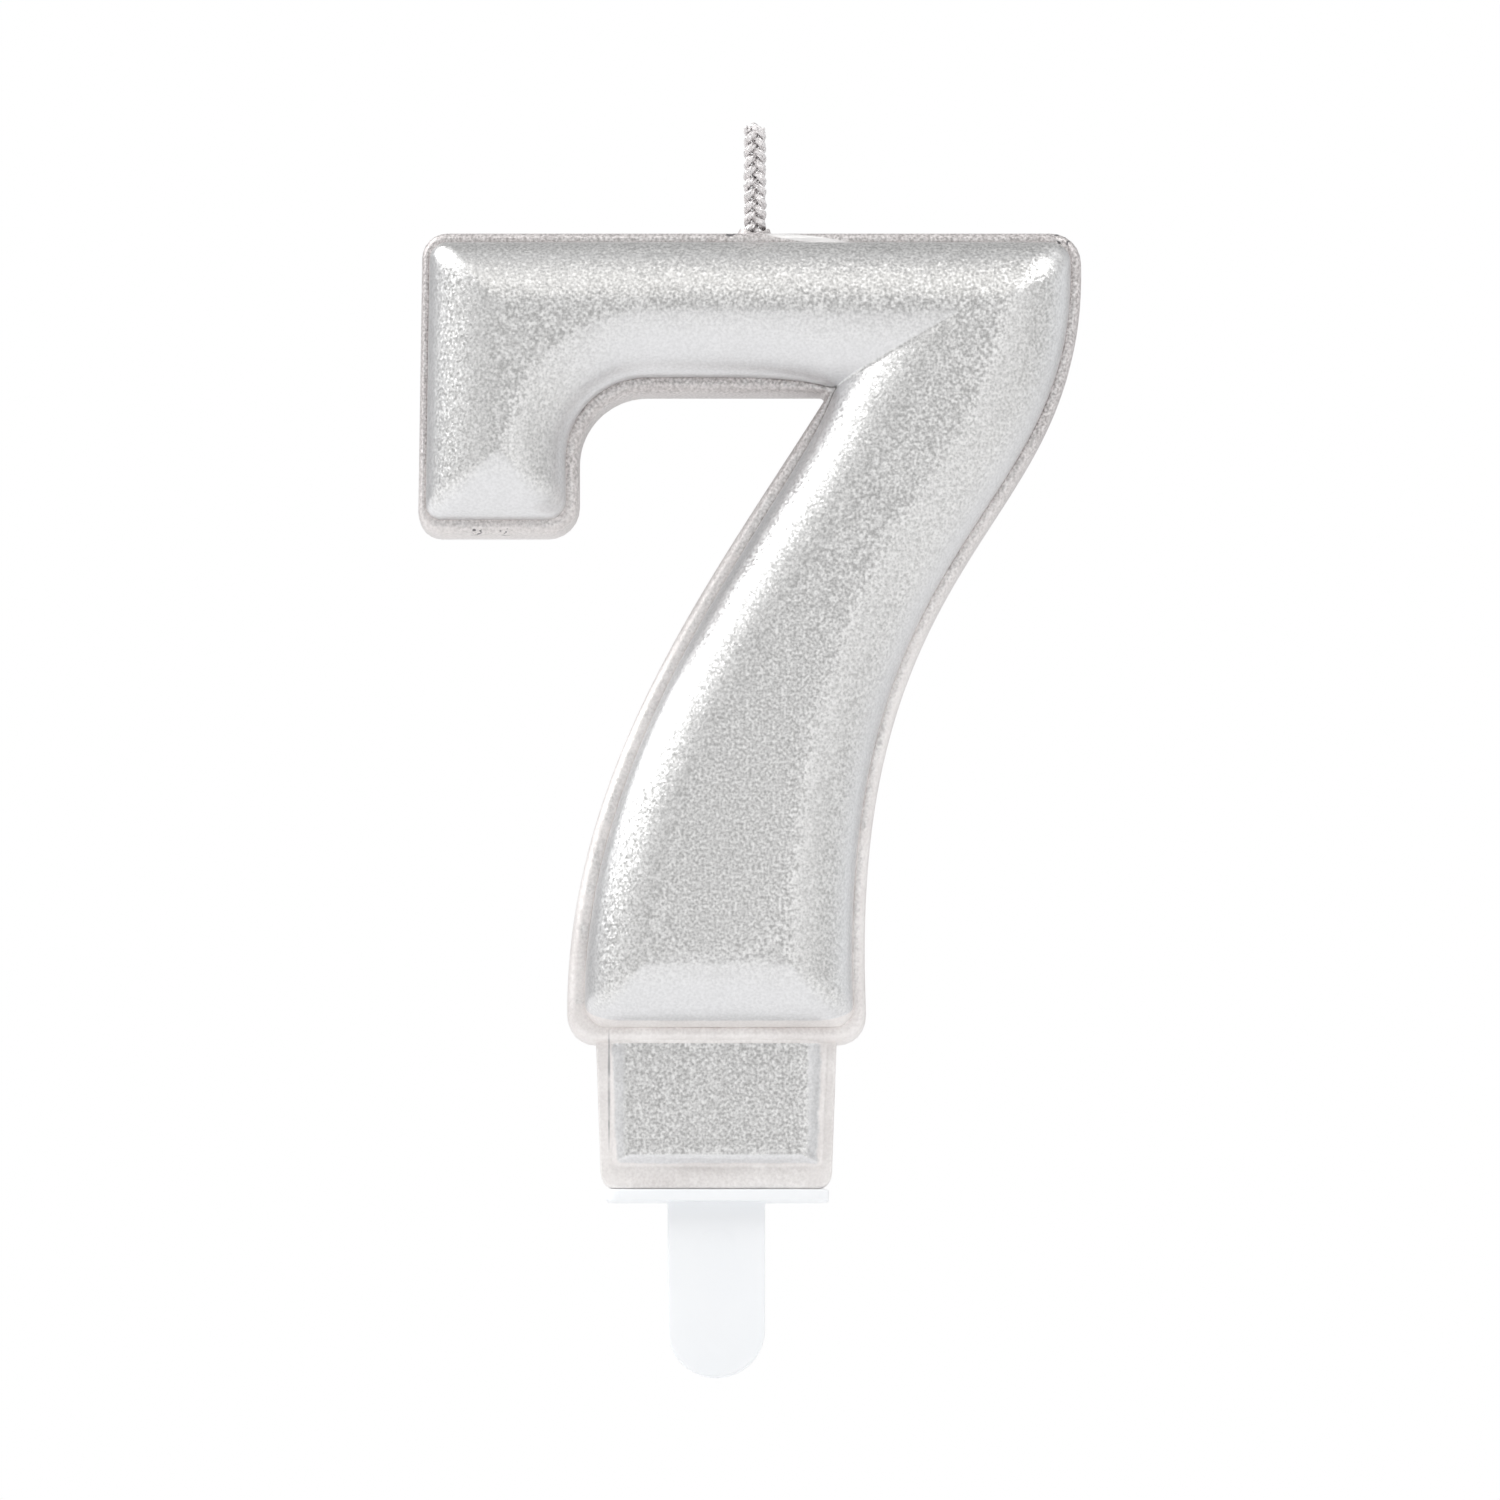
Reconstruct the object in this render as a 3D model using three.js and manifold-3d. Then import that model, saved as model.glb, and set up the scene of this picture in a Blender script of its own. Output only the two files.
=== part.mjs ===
// A number birthday candle, the figure seven: a wax casting with a silver lacquer skin, a plaited
// wick and a white plastic holder that pushes into the cake. Millimetres, +Z up, +X to the right
// seen from the front, and the front faces -Y. The origin is the centre of the underside of the
// holder's plate, where it meets the top of the cake. Y is zero at the wick and the holder.

import * as THREE from "three";
import { mergeVertices } from "three/addons/utils/BufferGeometryUtils.js";
import Module from "manifold-3d";

const wasm = await Module();
wasm.setup();

// ---------------------------------------------------------------- driving dimensions

const BODY_BOTTOM = 1.0; // underside of the wax, just above the holder's plate
const BODY_TOP = 77.0; // top edge of the figure: the wax is 76.0 mm high, a three-inch candle
const BACK_Y = 2.6; // flat back of the figure and the plinth

// The figure's outline, seen from the front.
const LEG_BOTTOM = 12.5;
const LEG_LEFT = -11.8;
const LEG_RIGHT = 11.9;
const BAR_LEFT = -23.4;
const BAR_RIGHT = 28.9;
const BAR_UNDERSIDE = 64.2;
const SERIF_BOTTOM = 52.9;
const SERIF_LEFT = -23.7;
const SERIF_RIGHT = -10.9;
const NOTCH_RADIUS = 5.4; // hollow corner between the serif and the bar
const CROTCH_X = 8.9; // sharp inner corner where the leg leaves the bar
const LEG_CORNER_RADIUS = 2.0;
const TOP_LEFT_RADIUS = 2.0;
const TOP_RIGHT_RADIUS = 2.4;
const SERIF_LEFT_RADIUS = 1.8;
const SERIF_RIGHT_RADIUS = 2.5;
const CURVE_STEPS = 14; // straight pieces along each long edge of the leg
const NOTCH_STEPS = 6;
const CORNER_STEPS = 3;
const RIDGE_RADIUS = 0.4; // corners never get sharper than this further in
const CORNER_GAP = 0.3; // straight left between a rounded corner and the curve beside it

// The rim and the pillow that rises inside it. An inset is measured square in from the outline.
const RIM_ROUND = 1.0; // radius of the rim's back edge
const RIM_FRONT_Y = -2.6; // crest of the rim
const RIM_CREST_INSET = 0.7; // the front of the rim rolls over from the side to here
const RIM_SHOULDER = 0.4; // how far behind the crest the roll starts to turn
const CREASE_INSET = 1.2; // narrow groove between the rim and the pillow
const CREASE_DEPTH = 0.2;
const PILLOW_INSET = 5.4; // where the pillow's side has levelled off
const PILLOW_FRONT_Y = -7.5;
const PILLOW_STEPS = 6;
const PILLOW_STEP_BIAS = 1.9; // above 1, the steps crowd towards the steep foot
const PILLOW_DOME_POWER = 1.5; // how soon the dome flattens
const PILLOW_FOOT_POWER = 0.42; // below 1, how steep the foot stands
const PILLOW_DOME_SHARE = 0.88; // the part of the dome in use, so that it still climbs at its edge

// The plinth under the leg.
const PLINTH_LEFT = -9.1;
const PLINTH_RIGHT = 9.1;
const PLINTH_FLARE = 0.5; // each side leans out by this towards the top
const PLINTH_TOP = 15.0; // inside the leg
const PLINTH_CORNER_RADIUS = 0.9;
const PLINTH_RIM_FRONT_Y = -1.6; // the plinth is thinner than the leg and sits back from its rim
const PANEL_FRONT_Y = -2.3;
const PANEL_BEVEL = 0.8;

// The lacquer, and the clearance between it and the wax.
const LACQUER = 0.3;
const WAX_INSET = 0.5;

// The wick: three strands plaited flat.
const WICK_X = 3.06;
const WICK_HALF_WIDTH = 0.91;
const WICK_BOTTOM = 65.5;
const WICK_TOPS = [85.9, 85.4, 85.6]; // an uneven cut
const STRAND_RADIUS = 0.2;
const PLAIT_HALF_DEPTH = 0.46;
const PLAIT_PITCH = 2.74; // one full crossing of all three strands
const STRAND_SIDES = 6;
const STRAND_STEPS_PER_PITCH = 8;
const WICK_BORE_RADIUS = 1.06;
const WICK_BORE_BOTTOM = 65.2;
const COLLAR_RADIUS = 1.7; // lacquer gathered round the wick's root
const COLLAR_HEIGHT = 0.7;

// The holder.
const PLATE_X = 0.1; // its plate sits a little off centre under the plinth
const PLATE_WIDTH = 17.6;
const PLATE_DEPTH = 4.6;
const PLATE_Y = 0.2; // centre of the plate, under the middle of the plinth
const PLATE_THICKNESS = 0.95;
const PLATE_CORNER_RADIUS = 1.2;
const PICK_HALF_WIDTH = 3.85;
const PICK_TIP = -13.9;
const PICK_THICKNESS = 1.7;
const TONGUE_HALF_WIDTH = 2.6;
const TONGUE_TOP = 11.0;
const TONGUE_TAPER = 0.5; // taken off each side at the top
const TONGUE_THICKNESS = 1.2;
const EDGE_BEVEL = 0.2;
const SLOT_CLEARANCE = 0.25; // all round the tongue

// ---------------------------------------------------------------- solids

const toSolid = (geometry) => {
  const bare = geometry.clone();
  bare.deleteAttribute("normal");
  bare.deleteAttribute("uv");
  const merged = mergeVertices(bare, 1e-4);
  return new wasm.Manifold(
    new wasm.Mesh({
      numProp: 3,
      vertProperties: merged.attributes.position.array,
      triVerts: new Uint32Array(merged.index.array),
    }),
  );
};

const toGeometry = (solid) => {
  const mesh = solid.getMesh();
  const geometry = new THREE.BufferGeometry();
  geometry.setAttribute("position", new THREE.BufferAttribute(mesh.vertProperties, 3));
  geometry.setIndex(new THREE.BufferAttribute(mesh.triVerts, 1));
  geometry.computeVertexNormals();
  return geometry;
};

const boxSolid = (x0, x1, y0, y1, z0, z1) => {
  const geometry = new THREE.BoxGeometry(x1 - x0, y1 - y0, z1 - z0);
  geometry.translate((x0 + x1) / 2, (y0 + y1) / 2, (z0 + z1) / 2);
  return toSolid(geometry);
};

// ---------------------------------------------------------------- outlines with an inset

// An outline runs anticlockwise seen from the front, as corners and the curves between them.
const corner = (x, z, radius) => ({ at: new THREE.Vector2(x, z), radius });
const edge = (curve, steps) => ({ curve, steps });

const legRightEdge = new THREE.CubicBezierCurve(
  new THREE.Vector2(11.8, 16.0),
  new THREE.Vector2(10.5, 53.2),
  new THREE.Vector2(29.5, 53.1),
  new THREE.Vector2(29.0, 74.5),
);

const legLeftEdge = new THREE.CubicBezierCurve(
  new THREE.Vector2(CROTCH_X - 0.3, BAR_UNDERSIDE - 0.5),
  new THREE.Vector2(-0.4, 49.4),
  new THREE.Vector2(-11.8, 34.4),
  new THREE.Vector2(-11.8, 15.0),
);

const notch = new THREE.EllipseCurve(
  SERIF_RIGHT + NOTCH_RADIUS,
  BAR_UNDERSIDE - NOTCH_RADIUS,
  NOTCH_RADIUS,
  NOTCH_RADIUS,
  Math.PI,
  Math.PI / 2,
  true,
);

const figureOutline = [
  corner(LEG_LEFT, LEG_BOTTOM, LEG_CORNER_RADIUS),
  corner(LEG_RIGHT, LEG_BOTTOM, LEG_CORNER_RADIUS),
  edge(legRightEdge, CURVE_STEPS),
  corner(BAR_RIGHT, BODY_TOP, TOP_RIGHT_RADIUS),
  corner(BAR_LEFT, BODY_TOP, TOP_LEFT_RADIUS),
  corner(SERIF_LEFT, SERIF_BOTTOM, SERIF_LEFT_RADIUS),
  corner(SERIF_RIGHT, SERIF_BOTTOM, SERIF_RIGHT_RADIUS),
  edge(notch, NOTCH_STEPS),
  corner(CROTCH_X, BAR_UNDERSIDE, 0),
  edge(legLeftEdge, CURVE_STEPS),
];

const plinthOutline = [
  corner(PLINTH_LEFT, BODY_BOTTOM, PLINTH_CORNER_RADIUS),
  corner(PLINTH_RIGHT, BODY_BOTTOM, PLINTH_CORNER_RADIUS),
  corner(PLINTH_RIGHT + PLINTH_FLARE, PLINTH_TOP, PLINTH_CORNER_RADIUS),
  corner(PLINTH_LEFT - PLINTH_FLARE, PLINTH_TOP, PLINTH_CORNER_RADIUS),
];

const firstPoint = (item) => item.at ?? item.curve.getPoint(0);
const lastPoint = (item) => item.at ?? item.curve.getPoint(1);
const leftOf = (direction) => new THREE.Vector2(-direction.y, direction.x);
const heading = (from, to) => to.clone().sub(from).normalize();
const radiusAt = (item, inset) => Math.max(item.radius - inset, RIDGE_RADIUS);

// A corner moves in along its mitre, so outer corners make straight ridges and the crotch a valley.
const insetCorner = (item, before, after, inset) => {
  const n1 = leftOf(heading(lastPoint(before), item.at));
  const n2 = leftOf(heading(item.at, firstPoint(after)));
  const mitre = n1.clone().add(n2).divideScalar(1 + n1.dot(n2));
  return item.at.clone().addScaledVector(mitre, inset);
};

// How much of a curve's end the corner beside it has taken up, at this inset.
const takenBy = (item, end, inset) => {
  if (!item.radius) return 0;
  return Math.max(0, inset + radiusAt(item, inset) + CORNER_GAP - item.at.distanceTo(end));
};

const insetCurve = (item, before, after, inset) => {
  const length = item.curve.getLength();
  const start = takenBy(before, item.curve.getPoint(0), inset) / length;
  const end = 1 - takenBy(after, item.curve.getPoint(1), inset) / length;
  const points = [];
  for (let k = 0; k <= item.steps; k += 1) {
    const u = start + ((end - start) * k) / item.steps;
    const inward = leftOf(item.curve.getTangentAt(u));
    points.push(item.curve.getPointAt(u).addScaledVector(inward, inset));
  }
  return points;
};

const roundedCorner = (before, at, after, radius) => {
  const u = heading(at, before);
  const v = heading(at, after);
  const half = Math.acos(u.dot(v)) / 2;
  const bisector = u.clone().add(v).normalize();
  const centre = at.clone().addScaledVector(bisector, radius / Math.sin(half));
  const start = at.clone().addScaledVector(u, radius / Math.tan(half)).sub(centre);
  const turn = Math.PI - 2 * half;
  const points = [];
  for (let k = 0; k <= CORNER_STEPS; k += 1) {
    const arm = start.clone().rotateAround(new THREE.Vector2(), (turn * k) / CORNER_STEPS);
    points.push(centre.clone().add(arm));
  }
  return points;
};

const insetLoop = (outline, inset) => {
  const neighbour = (i, step) => outline[(i + step + outline.length) % outline.length];
  const runs = outline.map((item, i) =>
    item.curve
      ? insetCurve(item, neighbour(i, -1), neighbour(i, 1), inset)
      : [insetCorner(item, neighbour(i, -1), neighbour(i, 1), inset)],
  );
  return runs.flatMap((run, i) => {
    if (!outline[i].radius) return run;
    const before = runs[(i + runs.length - 1) % runs.length].at(-1);
    const after = runs[(i + 1) % runs.length][0];
    return roundedCorner(before, run[0], after, radiusAt(outline[i], inset));
  });
};

// A closed body through loops at several insets and depths, listed from the back to the front.
const loftSolid = (outline, sections) => {
  const loops = sections.map(({ inset }) => insetLoop(outline, inset));
  const count = loops[0].length;
  const positions = [];
  loops.forEach((loop, s) => loop.forEach((p) => positions.push(p.x, sections[s].y, p.y)));
  const indices = [];
  for (const [a, b, c] of THREE.ShapeUtils.triangulateShape(loops[0], [])) {
    indices.push(a, c, b);
  }
  for (let s = 0; s + 1 < loops.length; s += 1) {
    for (let i = 0; i < count; i += 1) {
      const back = s * count + i;
      const backNext = s * count + ((i + 1) % count);
      indices.push(back, backNext, backNext + count);
      indices.push(back, backNext + count, back + count);
    }
  }
  const last = (loops.length - 1) * count;
  for (const [a, b, c] of THREE.ShapeUtils.triangulateShape(loops[loops.length - 1], [])) {
    indices.push(last + a, last + b, last + c);
  }
  const geometry = new THREE.BufferGeometry();
  geometry.setAttribute("position", new THREE.Float32BufferAttribute(positions, 3));
  geometry.setIndex(indices);
  return toSolid(geometry);
};

// ---------------------------------------------------------------- figure and plinth

// The rim: rounded at the back edge, straight at the side, rolled over at the front.
const rimSections = (skin, frontY) => [
  { inset: skin + RIM_ROUND, y: BACK_Y - skin },
  { inset: skin + 0.3 * RIM_ROUND, y: BACK_Y - skin - 0.3 * RIM_ROUND },
  { inset: skin, y: BACK_Y - skin - RIM_ROUND },
  { inset: skin, y: frontY + skin + RIM_ROUND },
  { inset: skin + 0.3 * RIM_CREST_INSET, y: frontY + skin + RIM_SHOULDER },
  { inset: skin + RIM_CREST_INSET, y: frontY + skin },
  { inset: skin + CREASE_INSET, y: frontY + skin + CREASE_DEPTH },
];

const dome = (share) => (1 - (1 - share) ** PILLOW_DOME_POWER) ** PILLOW_FOOT_POWER;

// The pillow: steep at the crease, then a low dome up to a level front.
const pillowSections = (skin) => {
  const foot = RIM_FRONT_Y + CREASE_DEPTH;
  const sections = [];
  for (let k = 1; k <= PILLOW_STEPS; k += 1) {
    const across = (k / PILLOW_STEPS) ** PILLOW_STEP_BIAS;
    const rise = dome(across * PILLOW_DOME_SHARE) / dome(PILLOW_DOME_SHARE);
    sections.push({
      inset: skin + CREASE_INSET + across * (PILLOW_INSET - CREASE_INSET),
      y: foot + rise * (PILLOW_FRONT_Y - foot) + skin,
    });
  }
  return sections;
};

const panelSections = (skin) => [
  { inset: skin + CREASE_INSET + 0.3 * PANEL_BEVEL, y: PANEL_FRONT_Y + 0.7 * PANEL_BEVEL + skin },
  { inset: skin + CREASE_INSET + PANEL_BEVEL, y: PANEL_FRONT_Y + skin },
];

// The whole cast shape, taken in by a skin's thickness on every side.
const castShape = (skin) => {
  const figureRim = rimSections(skin, RIM_FRONT_Y);
  const plinthRim = rimSections(skin, PLINTH_RIM_FRONT_Y);
  const figure = loftSolid(figureOutline, [...figureRim, ...pillowSections(skin)]);
  const plinth = loftSolid(plinthOutline, [...plinthRim, ...panelSections(skin)]);
  return figure.add(plinth);
};

const wickBore = () => {
  const depth = BODY_TOP + 2 * COLLAR_HEIGHT - WICK_BORE_BOTTOM;
  const geometry = new THREE.CylinderGeometry(WICK_BORE_RADIUS, WICK_BORE_RADIUS, depth, 20);
  geometry.rotateX(Math.PI / 2);
  geometry.translate(WICK_X, 0, WICK_BORE_BOTTOM + depth / 2);
  return toSolid(geometry);
};

const tongueSlot = () => {
  const halfWidth = TONGUE_HALF_WIDTH + SLOT_CLEARANCE;
  const halfDepth = TONGUE_THICKNESS / 2 + SLOT_CLEARANCE;
  const top = TONGUE_TOP + SLOT_CLEARANCE;
  return boxSolid(-halfWidth, halfWidth, -halfDepth, halfDepth, 0, top);
};

// A low ring of lacquer that has run together round the wick.
const wickCollar = () => {
  const sunk = -0.2;
  const profile = [
    new THREE.Vector2(0, sunk),
    new THREE.Vector2(COLLAR_RADIUS, sunk),
    new THREE.Vector2(COLLAR_RADIUS - 0.1, 0.1),
    new THREE.Vector2(WICK_BORE_RADIUS + 0.3, 0.3),
    new THREE.Vector2(WICK_BORE_RADIUS + 0.15, COLLAR_HEIGHT),
    new THREE.Vector2(0, COLLAR_HEIGHT),
  ];
  const geometry = new THREE.LatheGeometry(profile, 20);
  geometry.rotateX(Math.PI / 2);
  geometry.translate(WICK_X, 0, BODY_TOP);
  return toSolid(geometry);
};

const waxBody = () => castShape(WAX_INSET).subtract(wickBore()).subtract(tongueSlot());

const silverCoat = () =>
  castShape(0)
    .add(wickCollar())
    .subtract(castShape(LACQUER))
    .subtract(wickBore())
    .subtract(tongueSlot());

// ---------------------------------------------------------------- wick

// One strand weaves from side to side once and front to back twice in each pitch.
class StrandPath extends THREE.Curve {
  constructor(phase, top) {
    super();
    this.phase = phase;
    this.top = top;
  }

  getPoint(t, target = new THREE.Vector3()) {
    const z = WICK_BOTTOM + t * (this.top - WICK_BOTTOM);
    const angle = (2 * Math.PI * z) / PLAIT_PITCH + this.phase;
    const x = WICK_X + (WICK_HALF_WIDTH - STRAND_RADIUS) * Math.sin(angle);
    return target.set(x, PLAIT_HALF_DEPTH * Math.sin(2 * angle), z);
  }
}

const wickStrand = (index) => {
  const path = new StrandPath((index * 2 * Math.PI) / WICK_TOPS.length, WICK_TOPS[index]);
  const section = new THREE.Shape();
  for (let k = 0; k < STRAND_SIDES; k += 1) {
    const angle = (2 * Math.PI * k) / STRAND_SIDES;
    const x = STRAND_RADIUS * Math.cos(angle);
    const y = STRAND_RADIUS * Math.sin(angle);
    if (k === 0) section.moveTo(x, y);
    else section.lineTo(x, y);
  }
  const pitches = (WICK_TOPS[index] - WICK_BOTTOM) / PLAIT_PITCH;
  return new THREE.ExtrudeGeometry(section, {
    steps: Math.round(pitches * STRAND_STEPS_PER_PITCH),
    extrudePath: path,
  });
};

// ---------------------------------------------------------------- holder

const flatExtrusion = (shape, thickness) => {
  const geometry = new THREE.ExtrudeGeometry(shape, {
    depth: thickness - 2 * EDGE_BEVEL,
    bevelThickness: EDGE_BEVEL,
    bevelSize: EDGE_BEVEL,
    bevelOffset: -EDGE_BEVEL,
    bevelSegments: 2,
    curveSegments: 10,
  });
  geometry.translate(0, 0, EDGE_BEVEL);
  return geometry;
};

const holderPlate = () => {
  const halfWidth = PLATE_WIDTH / 2;
  const halfDepth = PLATE_DEPTH / 2;
  const r = PLATE_CORNER_RADIUS;
  const shape = new THREE.Shape();
  shape.absarc(halfWidth - r, halfDepth - r, r, 0, Math.PI / 2);
  shape.absarc(r - halfWidth, halfDepth - r, r, Math.PI / 2, Math.PI);
  shape.absarc(r - halfWidth, r - halfDepth, r, Math.PI, 1.5 * Math.PI);
  shape.absarc(halfWidth - r, r - halfDepth, r, 1.5 * Math.PI, 2 * Math.PI);
  const geometry = flatExtrusion(shape, PLATE_THICKNESS);
  geometry.translate(PLATE_X, PLATE_Y, 0);
  return toSolid(geometry);
};

// Stands a flat extrusion up in the XZ plane, centred on the wick's plane.
const upright = (shape, thickness) => {
  const geometry = flatExtrusion(shape, thickness);
  geometry.rotateX(Math.PI / 2);
  geometry.translate(0, thickness / 2, 0);
  return toSolid(geometry);
};

const holderPick = () => {
  const shape = new THREE.Shape();
  shape.moveTo(PICK_HALF_WIDTH, PLATE_THICKNESS / 2);
  shape.lineTo(-PICK_HALF_WIDTH, PLATE_THICKNESS / 2);
  shape.absarc(0, PICK_TIP + PICK_HALF_WIDTH, PICK_HALF_WIDTH, Math.PI, 2 * Math.PI);
  return upright(shape, PICK_THICKNESS);
};

const holderTongue = () => {
  const topHalfWidth = TONGUE_HALF_WIDTH - TONGUE_TAPER;
  const shape = new THREE.Shape();
  shape.moveTo(-TONGUE_HALF_WIDTH, PLATE_THICKNESS / 2);
  shape.lineTo(TONGUE_HALF_WIDTH, PLATE_THICKNESS / 2);
  shape.lineTo(topHalfWidth, TONGUE_TOP - TONGUE_TAPER);
  shape.lineTo(topHalfWidth - TONGUE_TAPER, TONGUE_TOP);
  shape.lineTo(TONGUE_TAPER - topHalfWidth, TONGUE_TOP);
  shape.lineTo(-topHalfWidth, TONGUE_TOP - TONGUE_TAPER);
  return upright(shape, TONGUE_THICKNESS);
};

const holder = () => holderPlate().add(holderPick()).add(holderTongue());

// ---------------------------------------------------------------- materials and assembly

const material = (color, roughness, metalness) =>
  new THREE.MeshStandardMaterial({ color, roughness, metalness });

const waxMaterial = material(0xf2eee6, 0.55, 0);
const lacquerMaterial = material(0xcfcdcb, 0.38, 0.8);
const yarnMaterial = material(0xbdbbb9, 0.6, 0.4);
const plasticMaterial = material(0xf6f8fb, 0.35, 0);

const named = (name, geometry, finish) => {
  const mesh = new THREE.Mesh(geometry, finish);
  mesh.name = name;
  return mesh;
};

const candle = new THREE.Group();
candle.add(named("wax_body", toGeometry(waxBody()), waxMaterial));
candle.add(named("silver_coat", toGeometry(silverCoat()), lacquerMaterial));
WICK_TOPS.forEach((top, index) => {
  candle.add(named(`wick_strand_${index + 1}`, wickStrand(index), yarnMaterial));
});

const assembly = new THREE.Group();
assembly.add(candle);
assembly.add(named("holder", toGeometry(holder()), plasticMaterial));

export default assembly;
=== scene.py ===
"""A number birthday candle, the figure seven: lacquered wax, a plaited wick and a plastic holder.

Lengths are in millimetres while shapes are worked out, and finish_piece() turns them into metres.
The frame is the CAD's: +Z up, +X to the right seen from the front, the front faces -Y.
"""
import math

import bmesh
import bpy
import numpy as np
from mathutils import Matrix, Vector, noise
from mathutils.geometry import delaunay_2d_cdt
from mathutils.kdtree import KDTree


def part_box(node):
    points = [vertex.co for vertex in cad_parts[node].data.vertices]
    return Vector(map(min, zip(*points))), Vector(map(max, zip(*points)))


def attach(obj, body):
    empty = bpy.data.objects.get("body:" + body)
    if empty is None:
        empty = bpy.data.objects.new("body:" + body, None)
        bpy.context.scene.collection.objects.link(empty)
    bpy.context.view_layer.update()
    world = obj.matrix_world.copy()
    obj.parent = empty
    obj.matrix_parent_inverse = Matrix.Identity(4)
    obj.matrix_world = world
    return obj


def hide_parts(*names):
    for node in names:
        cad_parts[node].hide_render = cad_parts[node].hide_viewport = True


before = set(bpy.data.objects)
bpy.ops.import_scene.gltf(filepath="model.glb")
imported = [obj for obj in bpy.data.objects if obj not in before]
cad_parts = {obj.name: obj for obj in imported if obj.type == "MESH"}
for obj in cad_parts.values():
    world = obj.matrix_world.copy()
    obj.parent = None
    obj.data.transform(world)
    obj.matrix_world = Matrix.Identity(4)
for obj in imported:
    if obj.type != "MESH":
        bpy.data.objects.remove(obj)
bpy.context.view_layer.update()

MM = 0.001

# ---------------------------------------------------------------- driving dimensions, mm

coat_low, coat_high = [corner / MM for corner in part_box("silver_coat")]

BODY_BOTTOM = coat_low.z
BODY_TOP = 77.0
BACK_Y = coat_high.y
FRONT_Y = coat_low.y

# The outline, as in the CAD source.
LEG_BOTTOM = 12.5
LEG_LEFT = -11.8
LEG_RIGHT = 11.9
BAR_LEFT = -23.4
BAR_RIGHT = 28.9
BAR_UNDERSIDE = 64.2
SERIF_BOTTOM = 52.9
SERIF_LEFT = -23.7
SERIF_RIGHT = -10.9
NOTCH_RADIUS = 5.4
CROTCH_X = 8.9
OUTLINE_STEP = 0.5
CURVE_STEP = 0.1
CORNER_STEPS = 6
FULL_INSET = 6.0  # the pillow is at its full height this far in from the outline
VALLEY_RADIUS = 0.3
PINCH_LENGTH = 3.0  # over which a pinched rim widens away from its corner
RIDGE_INSET = 1.5  # from here inwards a corner's ridge has its whole radius
RIDGE_LEAST = 0.05

PLINTH_LOW_HALF = 9.1
PLINTH_HIGH_HALF = 9.6
PLINTH_TOP = 15.0
PANEL_HALF_WIDTH = 7.1  # the glittered part of the plinth's panel

WICK_X = 3.06
WICK_BORE_RADIUS = 1.06
WICK_BORE_BOTTOM = 65.2
BORE_STEPS = 40
TONGUE_HALF_WIDTH = 2.6
TONGUE_TOP = 11.0
TONGUE_THICKNESS = 1.2
SLOT_CLEARANCE = 0.25
SLOT_CORNER_RADIUS = 0.15
SLIVER = 0.04  # a cutter reaches this much past the wax it follows

# Damage to the lacquer, and shade painted into one crease: the centre and the half sizes of each place,
# across and up.
SCRAPE_CENTRE = (7.4, 76.45)
SCRAPE_HALF_SIZES = (3.6, 0.3)
SCRAPE_SLOPE = 0.13
FLAKED_SPOTS = [
    ((27.7, 76.5), (1.1, 0.6)),
    ((-19.1, 53.1), (0.5, 0.35)),
    ((-16.7, 53.1), (0.5, 0.3)),
    ((1.2, 77.0), (0.6, 0.4)),
]
# A dark line in the crease between the plinth's left rim and its panel: a crack, and painted shade in that
# crease.
CRACK_AND_SHADE_CENTRE = (-8.48, 8.8)
CRACK_AND_SHADE_HALF_SIZES = (0.1, 4.8)

# The stage, in metres.
FLOOR_Z = -60.0 * MM
FLOOR_HALF = 1.5
FLOOR_NEAR = 0.15  # from here outwards the floor fades into white
FLOOR_FAR = 0.5
AMBIENT = 0.63
AMBIENT_DARK = 0.47
DARK_SIDE = (-0.45, 0.75, 0.5)  # where the studio is unlit: behind, above and to the left

# ---------------------------------------------------------------- camera

AIM = Vector((2.66, 0.0, 35.9)) * MM
CAMERA_PITCH = math.radians(5.0)  # the camera looks slightly up
VIEW_WIDTH = 119.1 * MM
LENS = 250.0
SENSOR = 36.0


def add_camera():
    data = bpy.data.cameras.new("camera")
    data.lens = LENS
    data.sensor_width = SENSOR
    data.clip_start = 0.01
    data.clip_end = 20.0
    camera = bpy.data.objects.new("camera", data)
    bpy.context.scene.collection.objects.link(camera)
    distance = VIEW_WIDTH * LENS / SENSOR
    back = Vector((0.0, -math.cos(CAMERA_PITCH), -math.sin(CAMERA_PITCH)))
    camera.location = AIM + back * distance
    camera.rotation_euler = (math.radians(90) + CAMERA_PITCH, 0.0, 0.0)
    bpy.context.scene.camera = camera


# ---------------------------------------------------------------- outlines with a varying inset


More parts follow.
